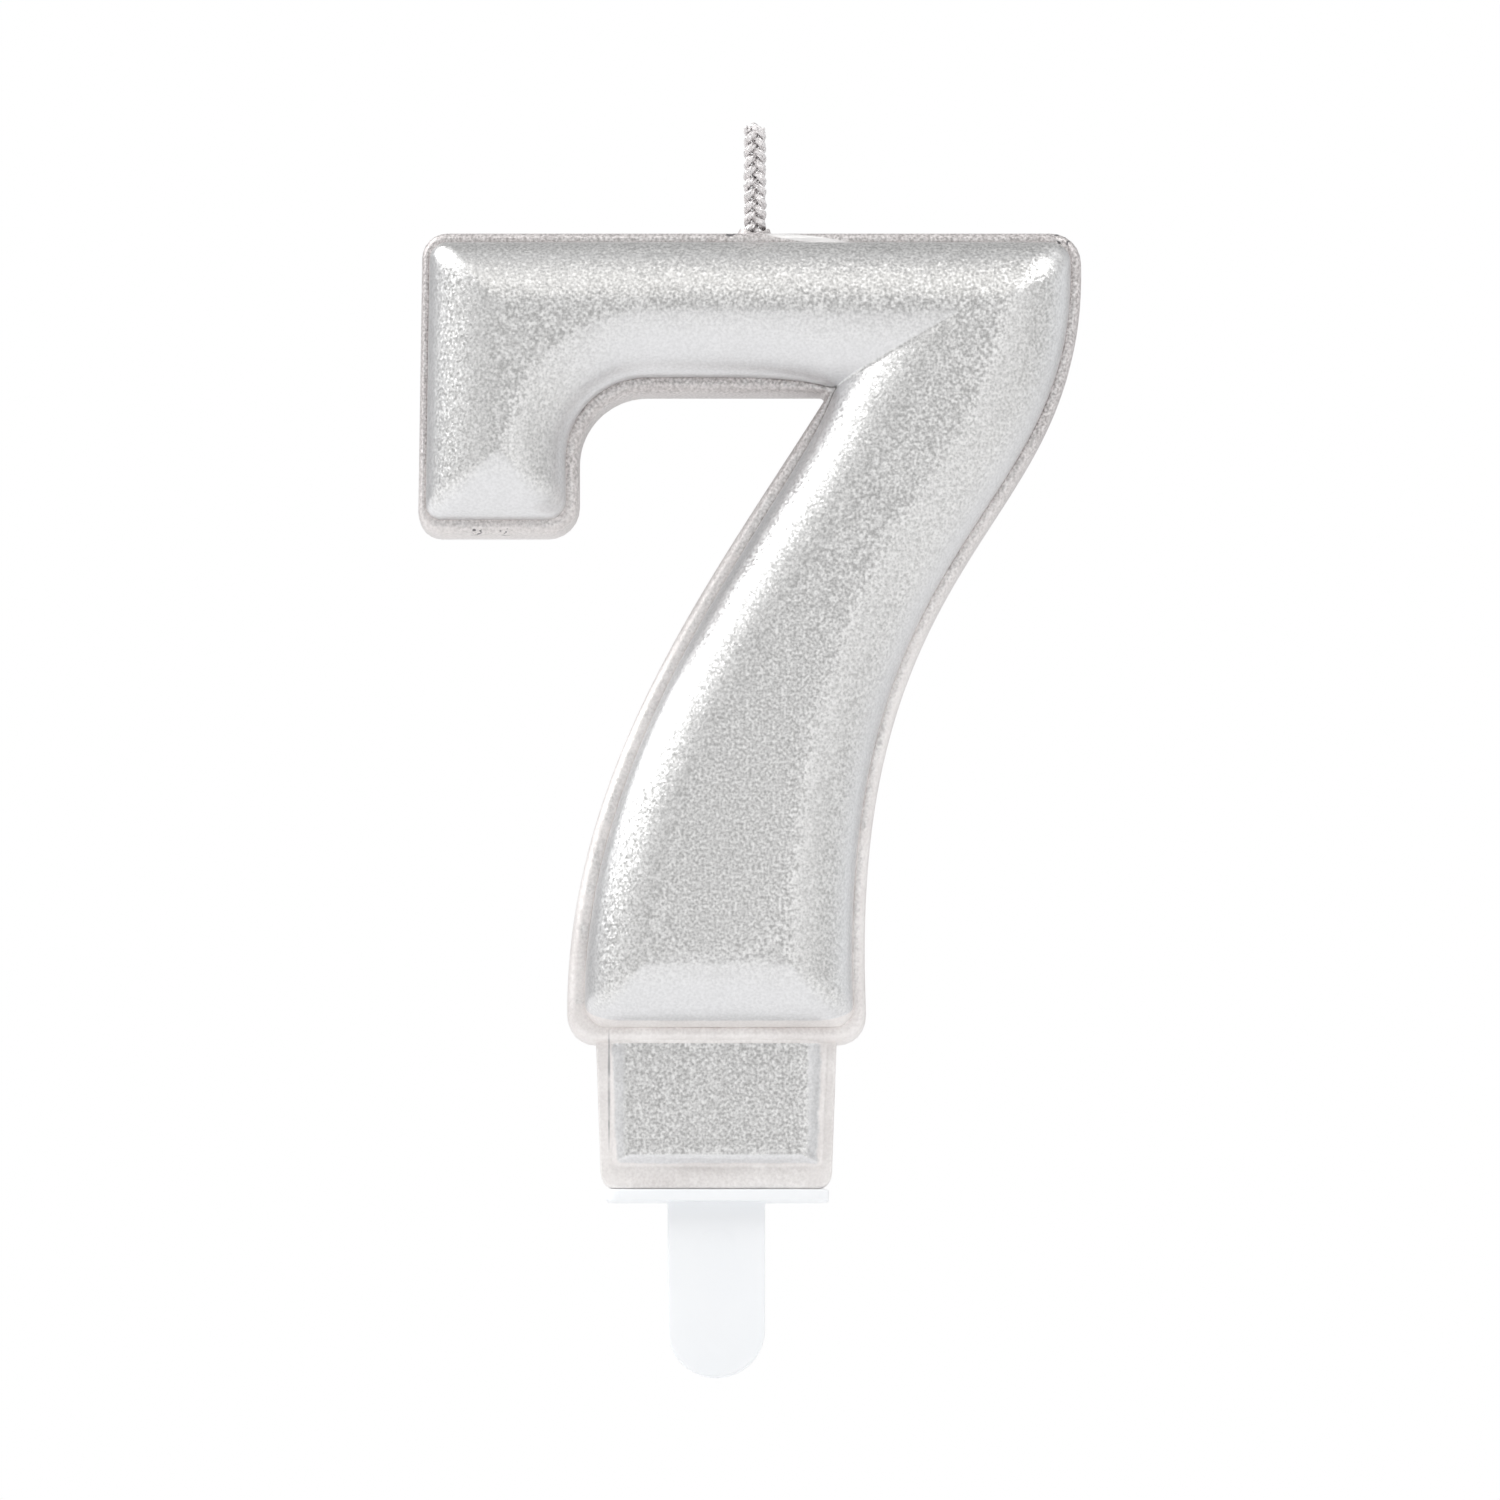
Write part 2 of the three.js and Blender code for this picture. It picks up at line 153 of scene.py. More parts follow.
class Edge:
    """One side of an outline from corner to corner.

    rim is the width of its rim at each end, full the inset where its pillow is at full height, and
    pinch how much narrower the rim is right at each end.
    """

    def __init__(self, points, rim, full, spacing, pinch=(0.0, 0.0)):
        points = np.array(points, float)
        steps = np.linalg.norm(np.diff(points, axis=0), axis=1)
        lengths = np.concatenate(([0.0], np.cumsum(steps)))
        self.length = lengths[-1]
        self.grid = np.linspace(0.0, self.length, max(3, int(self.length / CURVE_STEP)))
        self.x = np.interp(self.grid, lengths, points[:, 0])
        self.z = np.interp(self.grid, lengths, points[:, 1])
        self.rim = rim
        self.full = full
        self.pinch = pinch
        self.count = max(3, round(self.length / spacing))

    def point(self, u):
        inside = np.clip(u, 0.0, self.length)
        base = np.stack([np.interp(inside, self.grid, self.x), np.interp(inside, self.grid, self.z)], -1)
        return base + self.tangent(inside) * (u - inside)[..., None]

    def tangent(self, u):
        reach = 0.5
        low = np.clip(u - reach, 0.0, self.length - reach)
        high = low + reach
        dx = np.interp(high, self.grid, self.x) - np.interp(low, self.grid, self.x)
        dz = np.interp(high, self.grid, self.z) - np.interp(low, self.grid, self.z)
        size = np.hypot(dx, dz)
        return np.stack([dx / size, dz / size], -1)

    def rim_width(self, u):
        share = np.clip(u / self.length, 0.0, 1.0)
        width = self.rim[0] + (self.rim[1] - self.rim[0]) * share
        width = width - self.pinch[0] * np.exp(-share * self.length / PINCH_LENGTH)
        return width - self.pinch[1] * np.exp((share - 1) * self.length / PINCH_LENGTH)


def left_of(direction):
    return np.stack([-direction[..., 1], direction[..., 0]], -1)


class Outline:
    """A closed loop of edges, anticlockwise seen from the front, with a radius at each corner."""

    def __init__(self, edges, radii, ridges):
        self.edges = edges
        self.radii = radii  # radii[k] and ridges[k] are at the start of edges[k]
        self.ridges = ridges

    def inset(self, edge, u, rim_share, inner_share):
        """How far in a ring runs: a share of the rim, then a share of the slope behind it."""
        rim = edge.rim_width(u)
        return rim * rim_share + (edge.full - rim) * inner_share

    def corner_radius(self, k, inset):
        """The outline's own radius used up by the inset, then a ridge that tightens inwards."""
        grown = min(1.0, inset / RIDGE_INSET)
        tightened = max(RIDGE_LEAST, 1 - inset / self.edges[k].full)
        return max(self.radii[k] - inset, self.ridges[k] * grown * tightened)

    def corner(self, k, rim_share, inner_share):
        """Where the offset edges meet at the start of edge k.

        That is the length along each edge, the meeting point, both tangents, how far the rounding
        reaches along each edge, and the angle the outline turns by.
        """
        damping = 0.7
        before = self.edges[k - 1]
        after = self.edges[k]
        u1, u2 = before.length, 0.0
        for _ in range(8):
            t1, t2 = before.tangent(np.array(u1)), after.tangent(np.array(u2))
            a1 = self.inset(before, u1, rim_share, inner_share)
            a2 = self.inset(after, u2, rim_share, inner_share)
            p1 = before.point(np.array(u1)) + left_of(t1) * a1
            p2 = after.point(np.array(u2)) + left_of(t2) * a2
            du1, du2 = np.linalg.solve(np.stack([t1, -t2], -1), p2 - p1)
            u1, u2 = u1 + damping * du1, u2 + damping * du2
        turn = math.atan2(t1[0] * t2[1] - t1[1] * t2[0], float(t1 @ t2))
        trim = self.corner_radius(k, min(a1, a2)) * math.tan(abs(turn) / 2)
        return u1, u2, (p1 + p2) / 2, t1, t2, trim, turn

    def loop(self, rim_share, inner_share):
        """Points of one ring, with the edges' counts the same whatever the inset."""
        corners = [self.corner(k, rim_share, inner_share) for k in range(len(self.edges))]
        points = []
        for k, edge in enumerate(self.edges):
            _, start, apex, t1, t2, trim, turn = corners[k]
            points += arc_between(apex - t1 * trim, apex, apex + t2 * trim, turn, CORNER_STEPS)
            end, _, _, _, _, end_trim, _ = corners[(k + 1) % len(self.edges)]
            u = np.linspace(start + trim, end - end_trim, edge.count + 1)[1:-1]
            inset = self.inset(edge, u, rim_share, inner_share)
            points += list(edge.point(u) + left_of(edge.tangent(u)) * inset[:, None])
        return np.array(points)


def arc_between(start, apex, end, turn, steps):
    """A circular arc from start to end whose tangents meet at apex."""
    weight = math.cos(abs(turn) / 2)
    points = []
    for k in range(steps + 1):
        t = k / steps
        a, b, c = (1 - t) ** 2, 2 * t * (1 - t) * weight, t * t
        points.append((a * start + b * apex + c * end) / (a + b + c))
    return points


def bezier(p0, p1, p2, p3, steps=160):
    t = np.linspace(0.0, 1.0, steps + 1)[:, None]
    p0, p1, p2, p3 = (np.array(p) for p in (p0, p1, p2, p3))
    return (1 - t) ** 3 * p0 + 3 * (1 - t) ** 2 * t * p1 + 3 * (1 - t) * t * t * p2 + t**3 * p3


def arc(centre, radius, start_degrees, end_degrees, steps=40):
    angle = np.radians(np.linspace(start_degrees, end_degrees, steps + 1))
    return np.stack([centre[0] + radius * np.cos(angle), centre[1] + radius * np.sin(angle)], -1)


def figure_outline():
    leg_right = bezier((11.8, 16.0), (10.5, 53.2), (29.5, 53.1), (29.0, 74.5))
    leg_left = bezier((8.6, 63.7), (-0.4, 49.4), (-11.8, 34.4), (-11.8, 15.0))
    notch = arc((SERIF_RIGHT + NOTCH_RADIUS, BAR_UNDERSIDE - NOTCH_RADIUS), NOTCH_RADIUS, 180, 90)
    # Each side's start, its rim's width at both ends, the curve along it, and at its start the
    # corner's radius and the radius of the ridge inside it.
    sides = [
        ((LEG_LEFT, LEG_BOTTOM), (1.2, 1.2), [], 2.2, 2.8),
        ((LEG_RIGHT, LEG_BOTTOM), (1.0, 0.85), leg_right, 2.2, 2.8),
        ((BAR_RIGHT, BODY_TOP), (0.85, 0.85), [], 2.4, 3.0),
        ((BAR_LEFT, BODY_TOP), (0.6, 0.6), [], 2.0, 1.6),
        ((SERIF_LEFT, SERIF_BOTTOM), (1.1, 1.1), [], 1.8, 2.6),
        ((SERIF_RIGHT, SERIF_BOTTOM), (1.0, 1.3), notch, 2.5, 2.8),
        ((CROTCH_X, BAR_UNDERSIDE), (1.0, 1.4), leg_left, 0.4, VALLEY_RADIUS),
    ]
    # The rims under the bar and along the leg narrow where they meet in the crotch.
    pinches = [(0.0, 0.0)] * 5 + [(0.0, 0.9), (0.6, 0.0)]
    edges = []
    for k, (start, rim, curve, _, _) in enumerate(sides):
        end = sides[(k + 1) % len(sides)][0]
        edges.append(Edge([start, *curve, end], rim, FULL_INSET, OUTLINE_STEP, pinches[k]))
    return Outline(edges, [side[3] for side in sides], [side[4] for side in sides])


def plinth_outline():
    corners = [
        (-PLINTH_LOW_HALF, BODY_BOTTOM),
        (PLINTH_LOW_HALF, BODY_BOTTOM),
        (PLINTH_HIGH_HALF, PLINTH_TOP),
        (-PLINTH_HIGH_HALF, PLINTH_TOP),
    ]
    # The rim's width and where the panel starts, at the bottom, right, top and left.
    rims = [1.75, 0.75, 1.0, 0.9]
    fulls = [2.7, 2.5, 1.9, 2.4]
    edges = []
    for k, start in enumerate(corners):
        edges.append(Edge([start, corners[(k + 1) % 4]], (rims[k], rims[k]), fulls[k], OUTLINE_STEP))
    return Outline(edges, [1.3, 1.3, 0.9, 0.9], [0.6] * 4)


# ---------------------------------------------------------------- lofted solids


class Membrane:
    """How far each place of an outline lies from its edge, as the height of a stretched skin, 0 to 1."""

    def __init__(self, loop, step=0.6, rounds=2500):
        self.step = step
        self.low = loop.min(0) - 2 * step
        size = np.ceil((loop.max(0) - self.low) / step).astype(int) + 3
        xs = self.low[0] + step * np.arange(size[0])
        zs = self.low[1] + step * np.arange(size[1])
        inside = inside_loop(loop, *np.meshgrid(xs, zs, indexing="ij"))
        height = np.zeros(size)
        for _ in range(rounds):
            around = height[:-2, 1:-1] + height[2:, 1:-1] + height[1:-1, :-2] + height[1:-1, 2:]
            height[1:-1, 1:-1] = inside[1:-1, 1:-1] * (around + 1.0) / 4
        self.height = height / height.max()

    def at(self, points):
        grid = (points - self.low) / self.step
        grid = np.clip(grid, 0, np.array(self.height.shape) - 1.001)
        i, j = grid[:, 0].astype(int), grid[:, 1].astype(int)
        a, b = grid[:, 0] - i, grid[:, 1] - j
        h = self.height
        lower = h[i, j] * (1 - a) + h[i + 1, j] * a
        upper = h[i, j + 1] * (1 - a) + h[i + 1, j + 1] * a
        return lower * (1 - b) + upper * b


def inside_loop(loop, x, z):
    inside = np.zeros(x.shape, bool)
    for (x0, z0), (x1, z1) in zip(loop, np.roll(loop, -1, axis=0)):
        if z0 == z1:
            continue
        crosses = (z0 > z) != (z1 > z)
        inside ^= crosses & (x < x0 + (z - z0) * (x1 - x0) / (z1 - z0))
    return inside


def filled_cap(loop, spacing):
    """Triangles across a loop, with an even scatter of points inside: (extra points, faces)."""
    low, high = loop.min(0), loop.max(0)
    xs = np.arange(low[0] + spacing / 2, high[0], spacing)
    row_gap = spacing * 0.87  # as between the rows of equal triangles
    edge_gap = spacing * 0.6
    zs = np.arange(low[1] + spacing / 2, high[1], row_gap)
    grid = [(x + (row % 2) * spacing / 2, z) for row, z in enumerate(zs) for x in xs]
    grid = np.array(grid)
    grid = grid[inside_loop(loop, grid[:, 0], grid[:, 1])]
    tree = KDTree(len(loop))
    for i, p in enumerate(loop):
        tree.insert((p[0], p[1], 0.0), i)
    tree.balance()
    clear = [tree.find((p[0], p[1], 0.0))[2] > edge_gap for p in grid]
    grid = grid[clear]
    coords = [Vector(p) for p in loop] + [Vector(p) for p in grid]
    ring = list(range(len(loop)))
    result = delaunay_2d_cdt(coords, [], [ring], 1, 1e-7)
    source = [origins[0] for origins in result[3]]
    faces = [[source[i] for i in face] for face in result[2]]
    return grid, [face for face in faces if len(set(face)) == 3]


def loft(outline, stages, cap_spacing):
    """The (x, z) points, their y and the faces through stages (rim share, inner share, y), back first."""
    loops = [outline.loop(rim, inner) for rim, inner, _ in stages]
    count = len(loops[0])
    points = np.concatenate(loops)
    depth = np.repeat([y for _, _, y in stages], count)
    faces = []
    for s in range(len(loops) - 1):
        for i in range(count):
            a, b = s * count + i, s * count + (i + 1) % count
            faces.append((a, b, b + count, a + count))
    last = (len(loops) - 1) * count
    for first, loop, flip in ((0, loops[0], True), (last, loops[-1], False)):
        extra, triangles = filled_cap(loop, cap_spacing)
        start = len(points)
        points = np.concatenate([points, extra])
        depth = np.concatenate([depth, np.full(len(extra), depth[first])])
        for triangle in triangles:
            face = [first + i if i < count else start + i - count for i in triangle]
            (x0, z0), (x1, z1), (x2, z2) = (points[i] for i in face)
            anticlockwise = (x1 - x0) * (z2 - z0) - (x2 - x0) * (z1 - z0) > 0
            faces.append(face[::-1] if anticlockwise == flip else face)
    return points, depth, faces


# ---------------------------------------------------------------- meshes


def mesh_object(name, vertices, faces):
    mesh = bpy.data.meshes.new(name)
    mesh.from_pydata([tuple(v) for v in vertices], [], faces)
    mesh.validate()
    piece = bpy.data.objects.new(name, mesh)
    bpy.context.scene.collection.objects.link(piece)
    return piece


def ring_solid(name, rings):
    """A closed solid through rings of equal counts, with a flat face over each end."""
    count = len(rings[0])
    vertices = [point for ring in rings for point in ring]
    faces = []
    for r in range(len(rings) - 1):
        for i in range(count):
            a, b = r * count + i, r * count + (i + 1) % count
            faces.append((a, b, b + count, a + count))
    faces.append(tuple(reversed(range(count))))
    faces.append(tuple(range(len(vertices) - count, len(vertices))))
    piece = mesh_object(name, vertices, faces)
    mesh = bmesh.new()
    mesh.from_mesh(piece.data)
    if mesh.calc_volume(signed=True) < 0:
        bmesh.ops.reverse_faces(mesh, faces=mesh.faces)
    mesh.to_mesh(piece.data)
    mesh.free()
    return piece


def circle(x, y, radius, z, steps):
    angles = [2 * math.pi * k / steps for k in range(steps)]
    return [(x + radius * math.cos(a), y + radius * math.sin(a), z) for a in angles]


def rounded_rectangle(half_x, half_y, radius, steps):
    points = []
    for quarter, (sx, sy) in enumerate(((1, 1), (-1, 1), (-1, -1), (1, -1))):
        for k in range(steps + 1):
            angle = math.radians(90 * (quarter + k / steps))
            x = sx * (half_x - radius) + radius * math.cos(angle)
            points.append((x, sy * (half_y - radius) + radius * math.sin(angle)))
    return points


def apply_modifiers(piece):
    graph = bpy.context.evaluated_depsgraph_get()
    mesh = bpy.data.meshes.new_from_object(piece.evaluated_get(graph))
    piece.modifiers.clear()
    old = piece.data
    piece.data = mesh
    bpy.data.meshes.remove(old)


def boolean(piece, tool, operation):
    modifier = piece.modifiers.new("cut", "BOOLEAN")
    modifier.solver = "MANIFOLD"
    modifier.operation = operation
    modifier.object = tool
    apply_modifiers(piece)
    bpy.data.objects.remove(tool)


def finish_piece(piece, sharp_degrees):
    """Turns a piece from millimetres into metres and shades it smooth up to its sharp edges."""
    for vertex in piece.data.vertices:
        vertex.co *= MM
    for polygon in piece.data.polygons:
        polygon.use_smooth = True
    piece.data.set_sharp_from_angle(angle=math.radians(sharp_degrees))


# ---------------------------------------------------------------- the cast and lacquered figure

RIM_FRONT_Y = -2.6
RIM_ROLL = 1.0
ROLL_WIDTH = 0.6  # share of the rim's width that a roll of 1 mm takes
CREASE = ((0.8, 0.03), (0.93, 0.048), (1.0, 0.08))  # share of the rim's width, depth behind its front
CREASE_DEPTH = CREASE[-1][1]
BACK_ROUND = 0.8
BACK_DISH = 0.3
BACK_STEPS = 5
SIDE_STEPS = 8
ROLL_STEPS = 8

CROWN = 0.35
DOME_SIDE = 1.5
DOME_FOOT = 0.42
DOME_REACH = 0.88  # the pillow's side is this share of a dome, so that it is still climbing where it ends
PILLOW_STEPS = 30
FOOT_CROWDING = 1.9
FIGURE_CAP_SPACING = 0.65
WAVE = 0.035
SLOW_WAVE_LENGTH = 9.0
QUICK_WAVE_LENGTH = 3.1
QUICK_WAVE_SHARE = 0.35
SAME_Y = 1e-6

PLINTH_BACK_INSET = 0.12
PLINTH_RIM_FRONT_Y = -1.6
PLINTH_RIM_ROLL = 0.28
PLINTH_CAP_SPACING = 0.8
PLINTH_WAVE_SHARE = 0.4
PANEL_BEVEL = ((0.15, -1.62), (0.35, -1.9), (0.6, -2.12), (0.85, -2.24), (1.0, -2.28))  # share, y
PANEL_FRONT_Y = -2.2  # the panel lies in front of this, and its rim behind it
RIM_RIPPLE = 0.12  # uneven mould flash along the plinth's rim
RIPPLES_ACROSS, RIPPLES_UP = 0.3, 1.7  # per millimetre
PANEL_LIP = 0.2  # the panel swells this much just above its bottom bevel
PANEL_LIP_Z = 3.6
PANEL_LIP_HALF_HEIGHT = 0.8

# The collar's radius and its height over the top of the bar, from the hidden root upwards.
COLLAR_PROFILE = ((1.9, -0.5), (1.75, -0.05), (1.45, 0.12), (1.28, 0.32), (1.2, 0.55), (1.12, 0.62))
COLLAR_STEPS = 48
COLLAR_FLATNESS = 0.8
COLLAR_LUMPS = 0.1
COLLAR_UNEVENNESS = 0.12
ABOVE_WICK = 90.0
BELOW_SLOT = -5.0


def rim_stages(back_y, front_y, roll):
    """The rim from its rounded back edge over its front roll to the crease."""
    stages = []
    for k in range(BACK_STEPS + 1):
        angle = math.radians(90 * k / BACK_STEPS)
        stages.append((1.0 - math.sin(angle), 0.0, back_y - BACK_ROUND * (1 - math.cos(angle))))
    side_back = back_y - BACK_ROUND
    side_front = front_y + roll
    for k in range(1, SIDE_STEPS):
        stages.append((0.0, 0.0, side_back + (side_front - side_back) * k / SIDE_STEPS))
    for k in range(ROLL_STEPS + 1):
        angle = math.radians(90 * k / ROLL_STEPS)
        share = ROLL_WIDTH * roll * (1 - math.cos(angle))
        stages.append((share, 0.0, side_front - roll * math.sin(angle)))
    for share, depth in CREASE:
        stages.append((share, 0.0, front_y + depth))
    return stages


def pillow_rise(t):
    """Height across the pillow's side, 0 to 1: a steep foot, then a dome."""
    def dome(u):
        return (1 - (1 - u) ** DOME_SIDE) ** DOME_FOOT

    return dome(DOME_REACH * t) / dome(DOME_REACH)


def pillow_stages():
    foot = RIM_FRONT_Y + CREASE_DEPTH
    front = FRONT_Y + CROWN
    stages = []
    for k in range(1, PILLOW_STEPS + 1):
        t = (k / PILLOW_STEPS) ** FOOT_CROWDING
        stages.append((1.0, t, foot + (front - foot) * pillow_rise(t)))
    return stages


def waves(x, z, y):
    """Slow unevenness of the casting."""
    elsewhere = 40
    slow = noise.noise(Vector((x, y, z)) / SLOW_WAVE_LENGTH)
    quick = noise.noise(Vector((x + elsewhere, y, z)) / QUICK_WAVE_LENGTH)
    return WAVE * (slow + QUICK_WAVE_SHARE * quick)


def figure_solid():
    outline = figure_outline()
    stages = rim_stages(BACK_Y, RIM_FRONT_Y, RIM_ROLL) + pillow_stages()
    points, depth, faces = loft(outline, stages, FIGURE_CAP_SPACING)
    crown = Membrane(outline.loop(0.0, 0.0)).at(points)
    vertices = []
    for (x, z), y, up in zip(points, depth, crown):
        if y < RIM_FRONT_Y + CREASE_DEPTH - SAME_Y:
            y -= CROWN * up - WAVE + waves(x, z, y)
        elif y > BACK_Y - SAME_Y:
            y -= BACK_DISH * up
        vertices.append((x, y, z))
    return mesh_object("figure", vertices, faces)


def plinth_solid():
    outline = plinth_outline()
    stages = rim_stages(BACK_Y - PLINTH_BACK_INSET, PLINTH_RIM_FRONT_Y, PLINTH_RIM_ROLL)
    stages += [(1.0, share, y) for share, y in PANEL_BEVEL]
    points, depth, faces = loft(outline, stages, PLINTH_CAP_SPACING)
    vertices = []
    for (x, z), y in zip(points, depth):
        if y < PANEL_FRONT_Y:
            uneven = -PANEL_LIP * math.exp(-(((z - PANEL_LIP_Z) / PANEL_LIP_HALF_HEIGHT) ** 2))
        else:
            uneven = RIM_RIPPLE * noise.noise(Vector((RIPPLES_ACROSS * x, 0.0, RIPPLES_UP * z)))
        vertices.append((x, y + uneven + PLINTH_WAVE_SHARE * waves(x, z, y), z))
    return mesh_object("plinth", vertices, faces)


def collar_solid():
    """The low lumpy ring where the lacquer has run together round the wick."""
    rings = []
    for radius, up in COLLAR_PROFILE:
        ring = []
        for k in range(COLLAR_STEPS):
            angle = 2 * math.pi * k / COLLAR_STEPS
            cos, sin = math.cos(angle), math.sin(angle)
            reach = radius * (1 + COLLAR_LUMPS * noise.noise(Vector((cos, sin, up)) * 1.6))
            lift = COLLAR_UNEVENNESS * noise.noise(Vector((cos * 2, sin * 2, 7))) if up > 0 else 0.0
            ring.append((WICK_X + reach * cos, COLLAR_FLATNESS * reach * sin, BODY_TOP + up + lift))
        rings.append(ring)
    return ring_solid("collar", rings)


def bore_solid():
    radius = WICK_BORE_RADIUS + SLIVER
    rings = [circle(WICK_X, 0.0, radius, z, BORE_STEPS) for z in (WICK_BORE_BOTTOM, ABOVE_WICK)]
    return ring_solid("bore", rings)


def slot_solid():
    half_x = TONGUE_HALF_WIDTH + SLOT_CLEARANCE + SLIVER
    half_y = TONGUE_THICKNESS / 2 + SLOT_CLEARANCE + SLIVER
    rings = []
    for z in (BELOW_SLOT, TONGUE_TOP + SLOT_CLEARANCE + SLIVER):
        loop = rounded_rectangle(half_x, half_y, SLOT_CORNER_RADIUS, 4)
        rings.append([(x, y, z) for x, y in loop])
    return ring_solid("slot", rings)


def wax_copy():
    """The wax as one closed mesh in millimetres, to hollow the lacquer out to its skin."""
    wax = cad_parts["wax_body"]
    mesh = bmesh.new()
    mesh.from_mesh(wax.data)
    bmesh.ops.remove_doubles(mesh, verts=mesh.verts, dist=1e-6)
    bmesh.ops.scale(mesh, vec=Vector((1, 1, 1)) / MM, verts=mesh.verts)
    data = bpy.data.meshes.new("wax_copy")
    mesh.to_mesh(data)
    mesh.free()
    copy = bpy.data.objects.new("wax_copy", data)
    bpy.context.scene.collection.objects.link(copy)
    return copy


def build_coat():
    coat = figure_solid()
    coat.name = "lacquered_seven"
    boolean(coat, plinth_solid(), "UNION")
    boolean(coat, collar_solid(), "UNION")
    boolean(coat, wax_copy(), "DIFFERENCE")
    boolean(coat, bore_solid(), "DIFFERENCE")
    boolean(coat, slot_solid(), "DIFFERENCE")
    finish_piece(coat, sharp_degrees=38.0)
    return coat


# ---------------------------------------------------------------- the plaited wick

WICK_HALF_WIDTH = 0.92
PLAIT_HALF_DEPTH = 0.58
PLAIT_PITCH = 2.74
WICK_TOPS = [86.0, 85.75, 85.85]
PLIES = 4
PLY_RADIUS = 0.165
PLY_OFFSET = 0.145
PLY_PITCH = 1.5
PLY_STEP = 0.1
PLY_SIDES = 7
YARN_BOTTOM = WICK_BORE_BOTTOM + 0.4
CUT_UNEVENNESS = 0.12
LOOSE_LENGTH = 0.7  # of the cut end, where the plies spread


def strand_point(strand, z):
    phase = 2 * math.pi * ((z - WICK_BORE_BOTTOM) / PLAIT_PITCH + strand / 3)
    reach = WICK_HALF_WIDTH - PLY_RADIUS - PLY_OFFSET
    depth = PLAIT_HALF_DEPTH - PLY_RADIUS
    return Vector((WICK_X + reach * math.sin(phase), depth * math.sin(2 * phase), z))


def ply_path(strand, ply):
    """The centre line of one ply, twisted round its strand and loosening at the cut end."""
    top = WICK_TOPS[strand] + CUT_UNEVENNESS * noise.noise(Vector((strand * 3.1, ply * 1.7, 0.5)))
    steps = int((top - YARN_BOTTOM) / PLY_STEP)
    path = []
    for k in range(steps + 1):
        z = YARN_BOTTOM + k * PLY_STEP
        centre = strand_point(strand, z)
        ahead = (strand_point(strand, z + 0.02) - strand_point(strand, z - 0.02)).normalized()
        side = ahead.cross(Vector((0, 1, 0))).normalized()
        other = side.cross(ahead)
        angle = 2 * math.pi * (z / PLY_PITCH + ply / PLIES)
        loosen = 1 + 0.5 * max(0.0, (z - top + LOOSE_LENGTH) / LOOSE_LENGTH) ** 2
        offset = PLY_OFFSET * loosen * (1 + 0.2 * noise.noise(Vector((ply * 5, strand * 7, z * 1.3))))
        path.append(centre + (side * math.cos(angle) + other * math.sin(angle)) * offset)
    return path


def tube(path, radius, sides):
    """Vertices and faces of a closed tube along a path, a little lumpy as spun cotton is."""
    vertices, faces = [], []
    normal = Vector((0, 1, 0))
    for k, point in enumerate(path):
        ahead = (path[min(k + 1, len(path) - 1)] - path[max(k - 1, 0)]).normalized()
        normal = (normal - ahead * normal.dot(ahead)).normalized()
        across = ahead.cross(normal)
        at_end = k in (0, len(path) - 1)
        here = radius * (0.6 if at_end else 1 + 0.16 * noise.noise(point * 4.0))
        for j in range(sides):
            angle = 2 * math.pi * j / sides
            vertices.append(point + (normal * math.cos(angle) + across * math.sin(angle)) * here)
    for k in range(len(path) - 1):
        for j in range(sides):
            a, b = k * sides + j, k * sides + (j + 1) % sides
            faces.append((a, b, b + sides, a + sides))
    faces.append(tuple(reversed(range(sides))))
    faces.append(tuple(range((len(path) - 1) * sides, len(path) * sides)))
    return vertices, faces


def build_strand(strand):
    vertices, faces = [], []
    for ply in range(PLIES):
        more, more_faces = tube(ply_path(strand, ply), PLY_RADIUS, PLY_SIDES)
        start = len(vertices)
        vertices += more
        faces += [tuple(i + start for i in face) for face in more_faces]
    yarn = mesh_object(f"wick_yarn_{strand + 1}", vertices, faces)
    finish_piece(yarn, sharp_degrees=60.0)
    return yarn


# ---------------------------------------------------------------- the plastic holder

PLATE_X = 0.1
PLATE_Y = 0.2
PLATE_HALF_WIDTH = 8.8
PLATE_HALF_DEPTH = 2.3
PLATE_THICKNESS = 0.95
PLATE_CORNER_RADIUS = 1.2
PLATE_EDGE_RADIUS = 0.14
PICK_HALF_WIDTH = 3.85
PICK_HALF_THICKNESS = 0.85
PICK_TIP = -13.9
PICK_EDGE_RADIUS = 0.22
PICK_FLARE = 0.3  # the fillet where the pick meets the plate
FLARE_STEPS = 5
TIP_STEPS = 48
TONGUE_CORNER_RADIUS = 0.12
# How far under the tongue's top, how much narrower and how much thinner on each side it is there.
TONGUE_TAPER = ((1.0, 0.45, 0.05), (0.3, 0.7, 0.15), (0.0, 1.1, 0.3))
EJECTOR_MARK_RADIUS = 1.5
EJECTOR_MARK_Z = -3.6
EJECTOR_MARK_DEPTH = 0.06


def edge_profile(half, radius, steps=5):
    """(inset, height) pairs from -half to +half with both edges rounded."""
    turns = [math.radians(90 * k / steps) for k in range(steps + 1)]
    low = [(radius * (1 - math.sin(a)), -half + radius * (1 - math.cos(a))) for a in turns]
    return low + [(inset, -height) for inset, height in reversed(low)]


def plate_solid():
    rings = []
    middle = PLATE_THICKNESS / 2
    for inset, height in edge_profile(middle, PLATE_EDGE_RADIUS):
        half_x, half_y = PLATE_HALF_WIDTH - inset, PLATE_HALF_DEPTH - inset
        loop = rounded_rectangle(half_x, half_y, PLATE_CORNER_RADIUS - inset, 8)
        rings.append([(x + PLATE_X, y + PLATE_Y, middle + height) for x, y in loop])
    return ring_solid("plate", rings)


